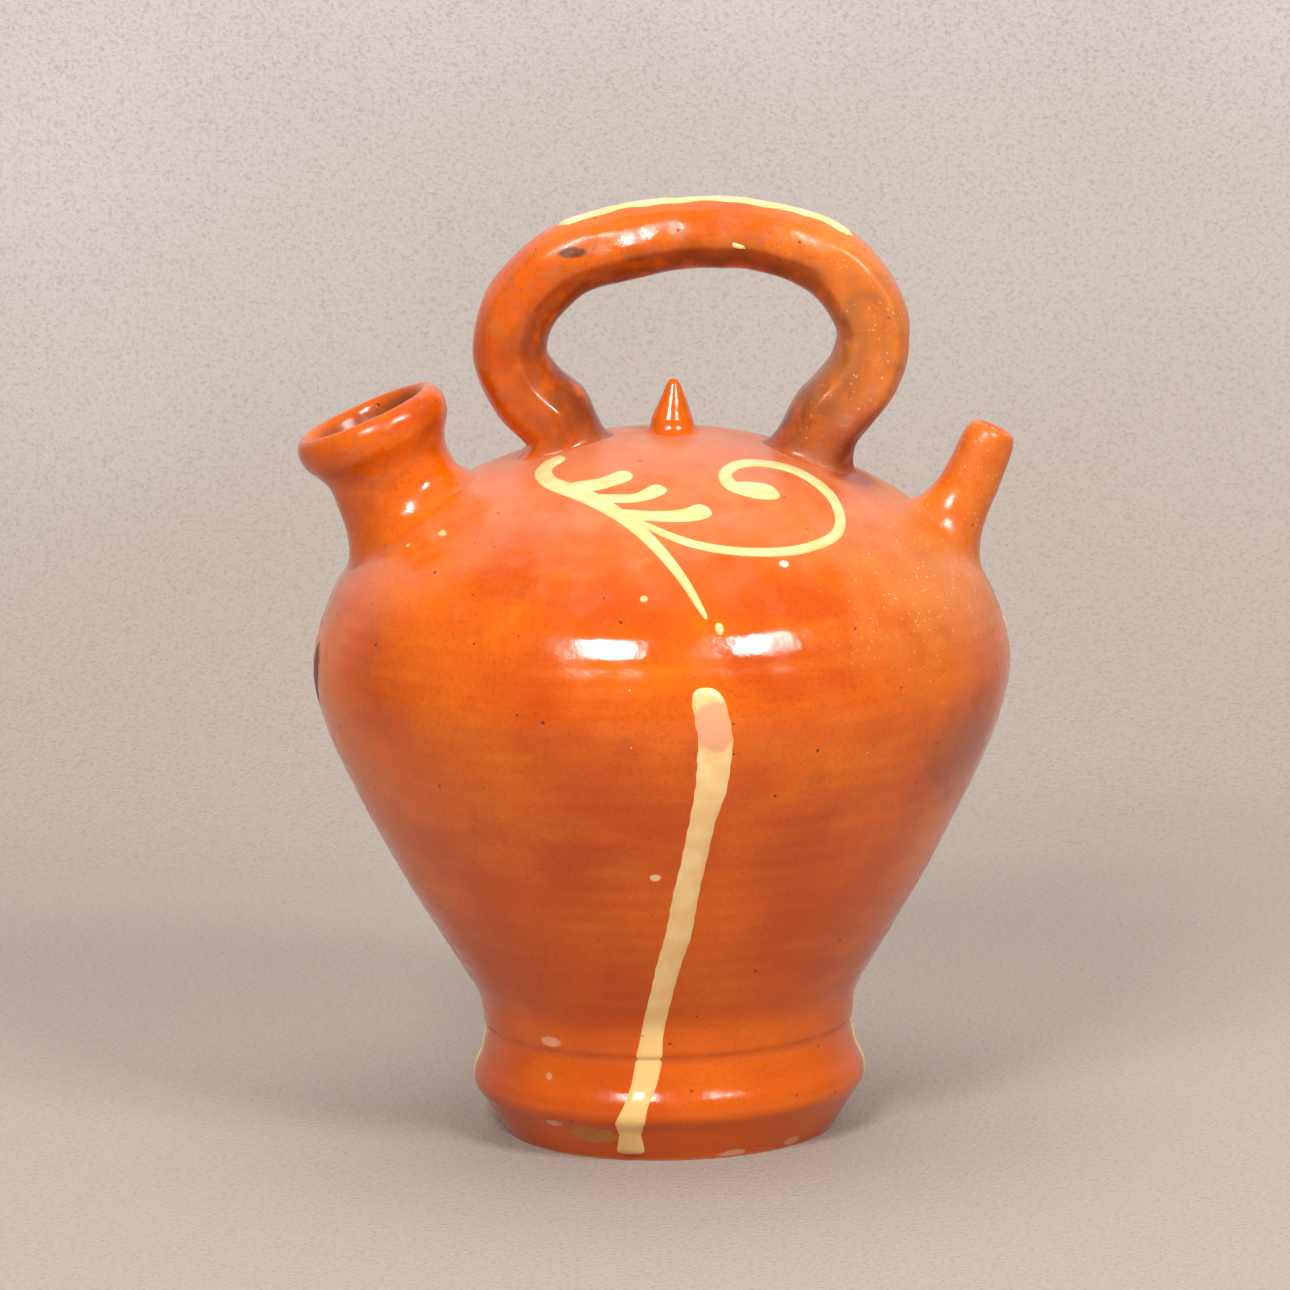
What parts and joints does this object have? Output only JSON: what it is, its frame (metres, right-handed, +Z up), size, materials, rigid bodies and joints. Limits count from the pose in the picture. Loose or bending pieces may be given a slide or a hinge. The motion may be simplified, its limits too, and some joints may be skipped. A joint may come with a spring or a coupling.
{
  "type": "slipware jug",
  "caption": "Closed glazed earthenware water jug with a filling neck, a thin drinking spout and a loop handle over the top, trailed with cream slip.",
  "frame": {"origin": "centre of the flat base", "axes": "+Z up, +X towards the drinking spout, -Y towards the side with the trailed spray"},
  "size_m": [0.2092, 0.2055, 0.2769],
  "materials": {
    "thrown_body": "lead-glazed red earthenware, glossy amber over orange, speckled and worn",
    "filling_neck": "lead-glazed red earthenware, dusty rim and matte throat",
    "drinking_spout": "lead-glazed red earthenware, sandy and half matte",
    "loop_handle": "lead-glazed red earthenware, brown on its inner face",
    "pinched_knob": "lead-glazed red earthenware",
    "white_slip": "trailed white slip under the clear yellowish glaze"
  },
  "bodies": {
    "root": {"thrown_body": "thrown_body", "filling_neck": "filling_neck", "drinking_spout": "drinking_spout", "loop_handle": "loop_handle", "pinched_knob": "pinched_knob", "slip_band_front": "white_slip", "slip_band_right": "white_slip", "slip_band_back": "white_slip", "slip_band_left": "white_slip", "slip_spray_stem": "white_slip", "slip_spray_drop": "white_slip", "slip_spray_leaf_upper": "white_slip", "slip_spray_leaf_middle": "white_slip", "slip_spray_leaf_lower": "white_slip", "slip_spray_scroll": "white_slip", "slip_handle_stripe": "white_slip", "slip_handle_drop": "white_slip"}
  },
  "joints": []
}
